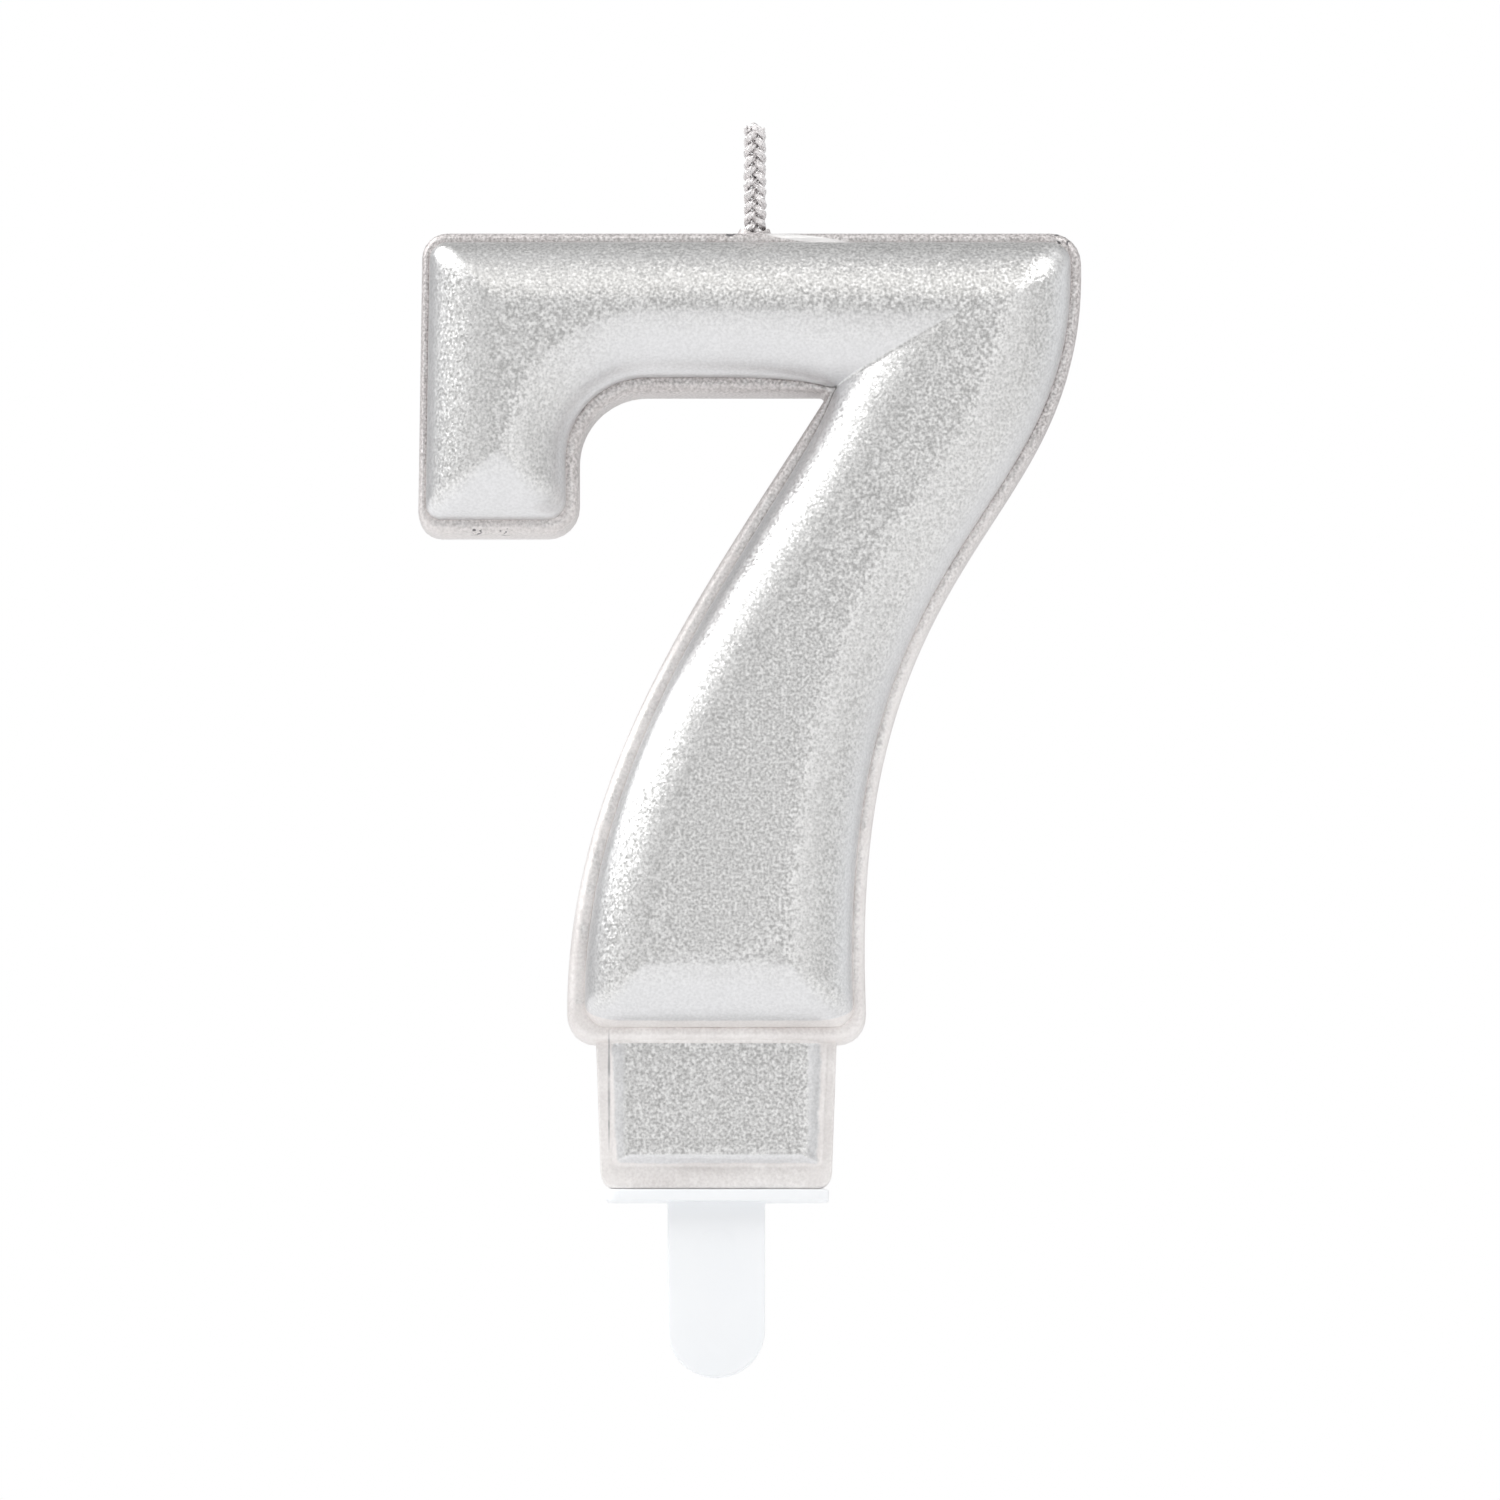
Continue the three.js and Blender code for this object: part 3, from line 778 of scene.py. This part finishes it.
def pick_solid():
    rings = []
    centre = PICK_TIP + PICK_HALF_WIDTH
    turns = [math.radians(90 * k / FLARE_STEPS) for k in range(FLARE_STEPS + 1)]
    tip_turns = [-math.pi * k / TIP_STEPS for k in range(TIP_STEPS + 1)]
    for inset, height in edge_profile(PICK_HALF_THICKNESS, PICK_EDGE_RADIUS):
        half = PICK_HALF_WIDTH - inset
        side = [(half, PLATE_THICKNESS / 2)]
        side += [(half + PICK_FLARE * (1 - math.sin(a)), -PICK_FLARE * (1 - math.cos(a))) for a in turns]
        tip = [(half * math.cos(a), centre + half * math.sin(a)) for a in tip_turns]
        loop = side + tip + [(-x, z) for x, z in reversed(side)]
        rings.append([(x, height, z) for x, z in loop])
    return ring_solid("pick", rings)


def tongue_solid():
    rings = []
    for below_top, narrower, thinner in ((TONGUE_TOP - PLATE_THICKNESS / 2, 0.0, 0.0), *TONGUE_TAPER):
        half_x, half_y = TONGUE_HALF_WIDTH - narrower, TONGUE_THICKNESS / 2 - thinner
        loop = rounded_rectangle(half_x, half_y, TONGUE_CORNER_RADIUS, 4)
        rings.append([(x, y, TONGUE_TOP - below_top) for x, y in loop])
    return ring_solid("tongue", rings)


def ejector_mark():
    front = -PICK_HALF_THICKNESS
    rings = []
    for y in (front - 1.0, front + EJECTOR_MARK_DEPTH):
        ring = circle(0.0, EJECTOR_MARK_Z, EJECTOR_MARK_RADIUS, y, 48)
        rings.append([(x, depth, z) for x, z, depth in ring])
    return ring_solid("mark", rings)


def build_holder():
    holder = plate_solid()
    holder.name = "moulded_holder"
    boolean(holder, pick_solid(), "UNION")
    boolean(holder, tongue_solid(), "UNION")
    boolean(holder, ejector_mark(), "DIFFERENCE")
    finish_piece(holder, sharp_degrees=35.0)
    return holder


# ---------------------------------------------------------------- materials

# Each pair of colours is the darker and the paler end of a mottled surface.
# The smooth pair goes underneath and on steep sides. It stands for thinner glitter, and its paler tone is
# painted light: bounce light from below and soft light on the sides.
SMOOTH_WITH_PAINTED_LIGHT = ((0.67, 0.67, 0.677, 1), (0.85, 0.85, 0.86, 1))
GLITTERED = ((0.54, 0.537, 0.532, 1), (0.93, 0.926, 0.92, 1))
PALE_RIM = ((0.74, 0.70, 0.69, 1), (0.97, 0.945, 0.935, 1))
GRITTY_RIM = ((0.74, 0.71, 0.695, 1), (0.98, 0.955, 0.94, 1))
BARE_RIM = ((0.38, 0.355, 0.35, 1), (0.86, 0.825, 0.82, 1))
COTTON = ((0.70, 0.68, 0.68, 1), (0.95, 0.92, 0.92, 1))
WICK_GLITTER = ((0.62, 0.60, 0.60, 1), (1.0, 0.98, 0.98, 1))
PLASTIC = ((0.895, 0.918, 0.945, 1), (0.93, 0.943, 0.96, 1))
WAX = ((0.84, 0.81, 0.75, 1), (0.92, 0.90, 0.86, 1))
FLOOR = ((0.88, 0.88, 0.885, 1), (0.90, 0.90, 0.90, 1))
SCRAPED = (0.93, 0.92, 0.915, 1)
FLAKED = (0.16, 0.155, 0.16, 1)
# The next colour is a crack's, and it is also painted shade in a crease.
CRACK_AND_CREASE_SHADE = (0.34, 0.335, 0.35, 1)

# Texture scales are in features per metre.
BLOTCH_SCALE = 260.0
CRACK_AND_SHADE_SCALE = 600.0
ORANGE_PEEL_SCALE = 700.0
RIM_EDGE_SCALE = 900.0
FLECK_SCALE = 2600.0
GRAIN_SCALE = 4300.0
FIBRE_SCALE = 5000.0
NOISE_LOW, NOISE_HIGH = 0.3, 0.7  # nearly all of a noise texture's values lie between these

# The glitter: how far its grains tip the normal, and the share of it that the steep and the smooth
# places keep. The limits below are parts of the unit normal, where it starts and where it is full.
GRAIN_TILT = 0.65
SMOOTH_CONTRAST = 0.6
STEEP_GLITTER = 0.2
BAND_GLITTER = 0.15
SIDEWAYS_HELP = 0.6
FACING_DOWN, FACING_ACROSS = -0.46, 0.0
STEEP_FRONT, FULL_FRONT = -0.56, -0.84
SLOPING_UP, FULL_UP = 0.5, 0.7

FACE_METALLIC, RIM_METALLIC = 0.95, 0.55
SMOOTHEST_GRAIN, ROUGHEST_GRAIN, RIM_ROUGHNESS = 0.33, 0.43, 0.5

# Places and distances on the lacquer and the wick, in millimetres.
SPECK_SIZE = 0.16
BAND_FADE = 0.35
PATCH_START_Y, PATCH_FULL_Y = -1.0, -1.4  # damage shows only on what lies in front of these
RIM_WANDER = 0.12
BARE_FROM = 42.0  # the rim's lacquer gets thinner and greyer from this height up
BARE_ABOVE = 64.0
BARE_WANDER = 6.0
FOOT_TOP = 15.6  # the rim's colour climbs the pillow at the foot of the leg
FOOT_BOTTOM = 14.2
FOOT_SHIFT = 1.8
PLINTH_SHIFT = -2.67  # brings the limit between face and rim back to the plinth's own rim


def new_material(name):
    material = bpy.data.materials.new(name)
    material.use_nodes = True
    return material, material.node_tree, material.node_tree.nodes["Principled BSDF"]


def add_node(tree, kind, **settings):
    node = tree.nodes.new(kind)
    for name, value in settings.items():
        setattr(node, name, value)
    return node


def separated(tree, vector):
    """The X, Y and Z of a vector."""
    node = add_node(tree, "ShaderNodeSeparateXYZ")
    tree.links.new(vector, node.inputs[0])
    return node.outputs


def own_place(tree):
    """Each point's place in its own piece, in metres."""
    place = tree.nodes.get("place") or add_node(tree, "ShaderNodeTexCoord", name="place")
    return place.outputs["Object"]


def noise_texture(tree, scale, detail=2.0):
    node = add_node(tree, "ShaderNodeTexNoise")
    tree.links.new(own_place(tree), node.inputs["Vector"])
    node.inputs["Scale"].default_value = scale
    node.inputs["Detail"].default_value = detail
    return node.outputs["Fac"]


def cells(tree, size):
    """A Voronoi pattern whose cells are about `size` millimetres across."""
    node = add_node(tree, "ShaderNodeTexVoronoi")
    tree.links.new(own_place(tree), node.inputs["Vector"])
    node.inputs["Scale"].default_value = 1 / (size * MM)
    return node


def mapped(tree, value, from_low, from_high, to_low, to_high):
    """A value carried over from one range to another, and kept inside the second."""
    node = add_node(tree, "ShaderNodeMapRange")
    tree.links.new(value, node.inputs["Value"])
    node.inputs["From Min"].default_value = from_low
    node.inputs["From Max"].default_value = from_high
    node.inputs["To Min"].default_value = to_low
    node.inputs["To Max"].default_value = to_high
    return node.outputs["Result"]


def mixed(tree, factor, a, b):
    """Between colours (or numbers) a and b by factor."""
    node = add_node(tree, "ShaderNodeMix")
    number = not isinstance(a, tuple) and a.type == "VALUE"
    node.data_type = "FLOAT" if number else "RGBA"
    inputs = [i for i in node.inputs if i.enabled]
    for socket, value in zip(inputs, (factor, a, b)):
        if isinstance(value, (float, tuple)):
            socket.default_value = value
        else:
            tree.links.new(value, socket)
    return next(o for o in node.outputs if o.enabled)


def calculated(tree, operation, a, b):
    node = add_node(tree, "ShaderNodeMath", operation=operation)
    for socket, value in zip(node.inputs, (a, b)):
        if isinstance(value, (int, float)):
            socket.default_value = value
        else:
            tree.links.new(value, socket)
    return node.outputs[0]


def vector_maths(tree, operation, a, b=None, scale=None):
    node = add_node(tree, "ShaderNodeVectorMath", operation=operation)
    for socket, value in zip(node.inputs, (a, b)):
        if isinstance(value, tuple):
            socket.default_value = value
        elif value is not None:
            tree.links.new(value, socket)
    if scale is not None:
        tree.links.new(scale, node.inputs["Scale"])
    return node.outputs["Vector"]


def tipped_normal(tree, random_vector, tilt):
    """The surface normal, tipped by a random vector of 0 to 1, times tilt."""
    centred = vector_maths(tree, "SUBTRACT", random_vector, (0.5, 0.5, 0.5))
    tip = vector_maths(tree, "SCALE", centred, scale=tilt)
    surface = add_node(tree, "ShaderNodeNewGeometry")
    return vector_maths(tree, "NORMALIZE", vector_maths(tree, "ADD", surface.outputs["Normal"], tip))


def bumped(tree, height, distance, normal=None):
    node = add_node(tree, "ShaderNodeBump")
    node.inputs["Distance"].default_value = distance
    tree.links.new(height, node.inputs["Height"])
    if normal is not None:
        tree.links.new(normal, node.inputs["Normal"])
    return node.outputs["Normal"]


def rim_mask(tree):
    """1 on the rim and the sides, 0 on the pillowed face, with a wandering edge."""
    place = separated(tree, own_place(tree))
    wander = mapped(tree, noise_texture(tree, RIM_EDGE_SCALE), 0.0, 1.0, -RIM_WANDER * MM, RIM_WANDER * MM)
    foot = mapped(tree, place["Z"], FOOT_TOP * MM, FOOT_BOTTOM * MM, 0.0, FOOT_SHIFT * MM)
    plinth = mapped(tree, place["Z"], LEG_BOTTOM * MM, (LEG_BOTTOM - 0.05) * MM, 0.0, PLINTH_SHIFT * MM)
    depth = calculated(tree, "ADD", place["Y"], wander)
    depth = calculated(tree, "ADD", depth, calculated(tree, "ADD", foot, plinth))
    return mapped(tree, depth, (RIM_FRONT_Y - 0.15) * MM, (RIM_FRONT_Y + 0.05) * MM, 0.0, 1.0)


def glitter_versus_painted_light(tree):
    """1 where the glitter has settled, on what faces the front or up; 0 underneath and on steep sides,
    where the paler smooth colour goes: there is less glitter there, and the colour is also painted light
    from below and the side.
    """
    facing = separated(tree, add_node(tree, "ShaderNodeNewGeometry").outputs["Normal"])
    sideways = calculated(tree, "ABSOLUTE", facing["X"], 0.0)
    sideways = calculated(tree, "MULTIPLY", sideways, SIDEWAYS_HELP)
    upward = calculated(tree, "ADD", facing["Z"], sideways)
    upward = mapped(tree, upward, FACING_DOWN, FACING_ACROSS, 0.0, 1.0)
    frontward = mapped(tree, facing["Y"], STEEP_FRONT, FULL_FRONT, STEEP_GLITTER, 1.0)
    level = mapped(tree, facing["Z"], SLOPING_UP, FULL_UP, 0.0, 1.0)
    settled = calculated(tree, "MULTIPLY", upward, calculated(tree, "MAXIMUM", frontward, level))
    return calculated(tree, "MULTIPLY", settled, off_the_panel_sides(tree))


def off_the_panel_sides(tree):
    """Nearly 0 on the smooth band at each side of the plinth's panel, 1 elsewhere; the band gets the
    smooth colour with its painted light.
    """
    place = separated(tree, own_place(tree))
    across = calculated(tree, "ABSOLUTE", place["X"], 0.0)
    band = (PANEL_HALF_WIDTH + BAND_FADE) * MM
    inner = mapped(tree, across, PANEL_HALF_WIDTH * MM, band, 1.0, BAND_GLITTER)
    above = mapped(tree, place["Z"], (LEG_BOTTOM - 0.2) * MM, LEG_BOTTOM * MM, 0.0, 1.0)
    return calculated(tree, "MAXIMUM", inner, above)


def near(tree, place, centre, half_sizes, slope=0.0):
    """1 inside an ellipse on the front, 0 outside; slope is how fast the ellipse drops to the right."""
    across = calculated(tree, "SUBTRACT", place["X"], centre[0] * MM)
    up = calculated(tree, "SUBTRACT", place["Z"], centre[1] * MM)
    up = calculated(tree, "ADD", up, calculated(tree, "MULTIPLY", across, slope))
    across = calculated(tree, "POWER", calculated(tree, "DIVIDE", across, half_sizes[0] * MM), 2.0)
    up = calculated(tree, "POWER", calculated(tree, "DIVIDE", up, half_sizes[1] * MM), 2.0)
    inside = mapped(tree, calculated(tree, "ADD", across, up), 1.2, 0.6, 0.0, 1.0)
    in_front = mapped(tree, place["Y"], PATCH_START_Y * MM, PATCH_FULL_Y * MM, 0.0, 1.0)
    return calculated(tree, "MULTIPLY", inside, in_front)


def chipped_and_shaded(tree, place, colour):
    """A pale scrape on the top edge, flaked corners, and a dark crack beside the plinth's left rim that
    also paints the shade in that crease.
    """
    scrape = near(tree, place, SCRAPE_CENTRE, SCRAPE_HALF_SIZES, SCRAPE_SLOPE)
    colour = mixed(tree, scrape, colour, SCRAPED)
    flecks = mapped(tree, noise_texture(tree, FLECK_SCALE, 0.0), 0.57, 0.61, 0.0, 1.0)
    for centre, half_sizes in FLAKED_SPOTS:
        spot = calculated(tree, "MULTIPLY", flecks, near(tree, place, centre, half_sizes))
        colour = mixed(tree, spot, colour, FLAKED)
    # The crack line also paints the shade in the crease beside the plinth's left rim.
    depth = mapped(tree, noise_texture(tree, CRACK_AND_SHADE_SCALE), 0.35, 0.6, 0.2, 0.8)
    crack_and_shade = calculated(tree, "MULTIPLY", depth, near(tree, place, CRACK_AND_SHADE_CENTRE, CRACK_AND_SHADE_HALF_SIZES))
    return mixed(tree, crack_and_shade, colour, CRACK_AND_CREASE_SHADE)


def silver_lacquer():
    material, tree, shader = new_material("silver_lacquer")
    grain = noise_texture(tree, GRAIN_SCALE, 1.5)
    random_vector = grain.node.outputs["Color"]
    rim = rim_mask(tree)
    glitter = glitter_versus_painted_light(tree)

    contrast = mapped(tree, glitter, 0.0, 1.0, SMOOTH_CONTRAST, 1.0)
    speckle = mapped(tree, grain, NOISE_LOW, NOISE_HIGH, -0.5, 0.5)
    speckle = calculated(tree, "MULTIPLY", speckle, contrast)
    speckle = calculated(tree, "ADD", speckle, 0.5)
    # Underneath and on steep sides the face takes the smooth colour, whose paler tone is painted light
    # from below and the side.
    face = mixed(tree, glitter, mixed(tree, speckle, *SMOOTH_WITH_PAINTED_LIGHT), mixed(tree, speckle, *GLITTERED))
    blotch = mapped(tree, noise_texture(tree, BLOTCH_SCALE, 3.0), NOISE_LOW, NOISE_HIGH, 0.0, 1.0)
    pale = mixed(tree, 0.5, mixed(tree, blotch, *PALE_RIM), mixed(tree, speckle, *GRITTY_RIM))
    bare = mixed(tree, speckle, *BARE_RIM)
    place = separated(tree, own_place(tree))
    wander = mapped(tree, blotch, 0.0, 1.0, -BARE_WANDER * MM, BARE_WANDER * MM)
    height = calculated(tree, "ADD", place["Z"], wander)
    edge = mixed(tree, mapped(tree, height, BARE_FROM * MM, BARE_ABOVE * MM, 0.0, 1.0), pale, bare)
    colour = chipped_and_shaded(tree, place, mixed(tree, rim, face, edge))
    tree.links.new(colour, shader.inputs["Base Color"])

    metallic = mapped(tree, rim, 0.0, 1.0, FACE_METALLIC, RIM_METALLIC)
    tree.links.new(metallic, shader.inputs["Metallic"])
    rough = mapped(tree, grain, NOISE_LOW, NOISE_HIGH, SMOOTHEST_GRAIN, ROUGHEST_GRAIN)
    tree.links.new(mixed(tree, rim, rough, RIM_ROUGHNESS), shader.inputs["Roughness"])
    tilt = calculated(tree, "MULTIPLY", glitter, GRAIN_TILT)
    normal = tipped_normal(tree, random_vector, tilt)
    orange_peel = bumped(tree, noise_texture(tree, ORANGE_PEEL_SCALE), 0.02 * MM, normal)
    tree.links.new(orange_peel, shader.inputs["Normal"])
    return material


def wick_cotton():
    material, tree, shader = new_material("glittered_cotton")
    specks = cells(tree, SPECK_SIZE)
    split = add_node(tree, "ShaderNodeSeparateColor")
    tree.links.new(specks.outputs["Color"], split.inputs[0])
    glitter = mapped(tree, split.outputs["Red"], 0.45, 0.6, 0.0, 1.0)
    fibres = noise_texture(tree, FIBRE_SCALE)
    cotton = mixed(tree, fibres, *COTTON)
    metal = mixed(tree, split.outputs["Green"], *WICK_GLITTER)
    tree.links.new(mixed(tree, glitter, cotton, metal), shader.inputs["Base Color"])
    tree.links.new(glitter, shader.inputs["Metallic"])
    tree.links.new(mapped(tree, glitter, 0.0, 1.0, 0.8, 0.3), shader.inputs["Roughness"])
    normal = tipped_normal(tree, specks.outputs["Color"], mapped(tree, glitter, 0.0, 1.0, 0.15, 0.7))
    tree.links.new(bumped(tree, fibres, 0.02 * MM, normal), shader.inputs["Normal"])
    return material


def white_plastic():
    material, tree, shader = new_material("white_plastic")
    colour = mixed(tree, noise_texture(tree, 180.0, 3.0), *PLASTIC)
    tree.links.new(colour, shader.inputs["Base Color"])
    roughness = mapped(tree, noise_texture(tree, 420.0, 4.0), 0.2, 0.8, 0.3, 0.44)
    tree.links.new(roughness, shader.inputs["Roughness"])
    texture = bumped(tree, noise_texture(tree, 1500.0), 0.006 * MM)
    tree.links.new(texture, shader.inputs["Normal"])
    shader.inputs["Subsurface Weight"].default_value = 0.15
    shader.inputs["Subsurface Radius"].default_value = (1.0, 1.0, 1.0)
    shader.inputs["Subsurface Scale"].default_value = 0.6 * MM
    return material


def candle_wax():
    material, tree, shader = new_material("candle_wax")
    colour = mixed(tree, noise_texture(tree, 120.0, 4.0), *WAX)
    tree.links.new(colour, shader.inputs["Base Color"])
    roughness = mapped(tree, noise_texture(tree, 300.0, 4.0), 0.2, 0.8, 0.42, 0.6)
    tree.links.new(roughness, shader.inputs["Roughness"])
    texture = bumped(tree, noise_texture(tree, 800.0, 3.0), 0.03 * MM)
    tree.links.new(texture, shader.inputs["Normal"])
    shader.inputs["Subsurface Weight"].default_value = 0.3
    shader.inputs["Subsurface Radius"].default_value = (1.0, 0.8, 0.6)
    shader.inputs["Subsurface Scale"].default_value = 1.5 * MM
    return material


# ---------------------------------------------------------------- stage and light


def build_floor():
    """A pale floor that fades into the white surroundings away from the candle."""
    corners = [(x * FLOOR_HALF, y * FLOOR_HALF, 0) for x, y in ((-1, -1), (1, -1), (1, 1), (-1, 1))]
    floor = mesh_object("floor", corners, [(0, 1, 2, 3)])
    floor.location.z = FLOOR_Z
    material, tree, shader = new_material("pale_floor")
    distance = add_node(tree, "ShaderNodeVectorMath", operation="LENGTH")
    tree.links.new(own_place(tree), distance.inputs[0])
    tint = mixed(tree, noise_texture(tree, 3.0), *FLOOR)
    swept = mapped(tree, distance.outputs["Value"], FLOOR_NEAR, FLOOR_FAR, 0.0, 1.0)
    seen = add_node(tree, "ShaderNodeLightPath").outputs["Is Camera Ray"]
    swept = calculated(tree, "MULTIPLY", swept, seen)
    tree.links.new(mixed(tree, swept, tint, (0, 0, 0, 1)), shader.inputs["Base Color"])
    tree.links.new(swept, shader.inputs["Emission Strength"])
    shader.inputs["Emission Color"].default_value = (1, 1, 1, 1)
    shader.inputs["Specular IOR Level"].default_value = 0.0
    shader.inputs["Roughness"].default_value = 0.8
    floor.data.materials.append(material)


WHITE = (1.0, 1.0, 1.0)
# Name, azimuth and elevation in degrees, distance, width and height in metres, radiance and tint.
# Azimuth 0 is straight in front, and positive is to the right.
SOFTBOXES = [
    ("key", -86, 45, 0.9, 0.8, 0.8, 3.1, WHITE),
    ("overhead", 14, 52, 0.9, 0.9, 0.3, 0.7, (1.0, 0.98, 0.94)),
    ("upper_right", 56, 44, 0.9, 0.4, 0.4, 3.2, WHITE),
    ("fill", 104, 0, 1.0, 0.8, 0.9, 0.3, (0.93, 0.97, 1.0)),
    ("front_right", 28, 12, 1.0, 0.4, 0.6, 0.5, WHITE),
]


def softbox(name, azimuth, elevation, distance, width, height, radiance, tint):
    """A rectangular light aimed at the candle."""
    data = bpy.data.lights.new(name, "AREA")
    data.shape = "RECTANGLE"
    data.size = width
    data.size_y = height
    data.energy = radiance * math.pi * width * height
    data.color = tint
    light = bpy.data.objects.new(name, data)
    bpy.context.scene.collection.objects.link(light)
    a, e = math.radians(azimuth), math.radians(elevation)
    outward = Vector((math.sin(a) * math.cos(e), -math.cos(a) * math.cos(e), math.sin(e)))
    light.location = AIM + outward * distance
    light.rotation_euler = outward.to_track_quat("Z", "Y").to_euler()


def build_world():
    """White behind the candle, a softer grey for what lights it."""
    world = bpy.data.worlds.new("studio")
    bpy.context.scene.world = world
    world.use_nodes = True
    tree = world.node_tree
    direction = add_node(tree, "ShaderNodeTexCoord").outputs["Generated"]
    towards = add_node(tree, "ShaderNodeVectorMath", operation="DOT_PRODUCT")
    tree.links.new(direction, towards.inputs[0])
    towards.inputs[1].default_value = DARK_SIDE
    lighting = mapped(tree, towards.outputs["Value"], 0.0, 0.8, AMBIENT, AMBIENT_DARK)
    seen = add_node(tree, "ShaderNodeLightPath")
    strength = mixed(tree, seen.outputs["Is Camera Ray"], lighting, 1.0)
    tree.links.new(strength, tree.nodes["Background"].inputs["Strength"])
    tree.nodes["Background"].inputs["Color"].default_value = (1, 1, 1, 1)


# ---------------------------------------------------------------- assembly


def place(piece, body, slot, material, *nodes):
    piece.data.materials.clear()
    piece.data.materials.append(material)
    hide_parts(*nodes)
    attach(piece, body)


def repaint(node, material):
    """Gives a CAD piece its finished material."""
    for slot in node.material_slots:
        slot.material = material


bpy.context.scene.view_settings.view_transform = "Standard"
add_camera()
place(build_coat(), "candle", "silver_lacquer", silver_lacquer(), "silver_coat")
cotton = wick_cotton()
for strand in range(3):
    place(build_strand(strand), "candle", "wick_yarn", cotton, f"wick_strand_{strand + 1}")
place(build_holder(), "holder", "white_plastic", white_plastic(), "holder")
repaint(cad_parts["wax_body"], candle_wax())

build_floor()
build_world()
for settings in SOFTBOXES:
    softbox(*settings)
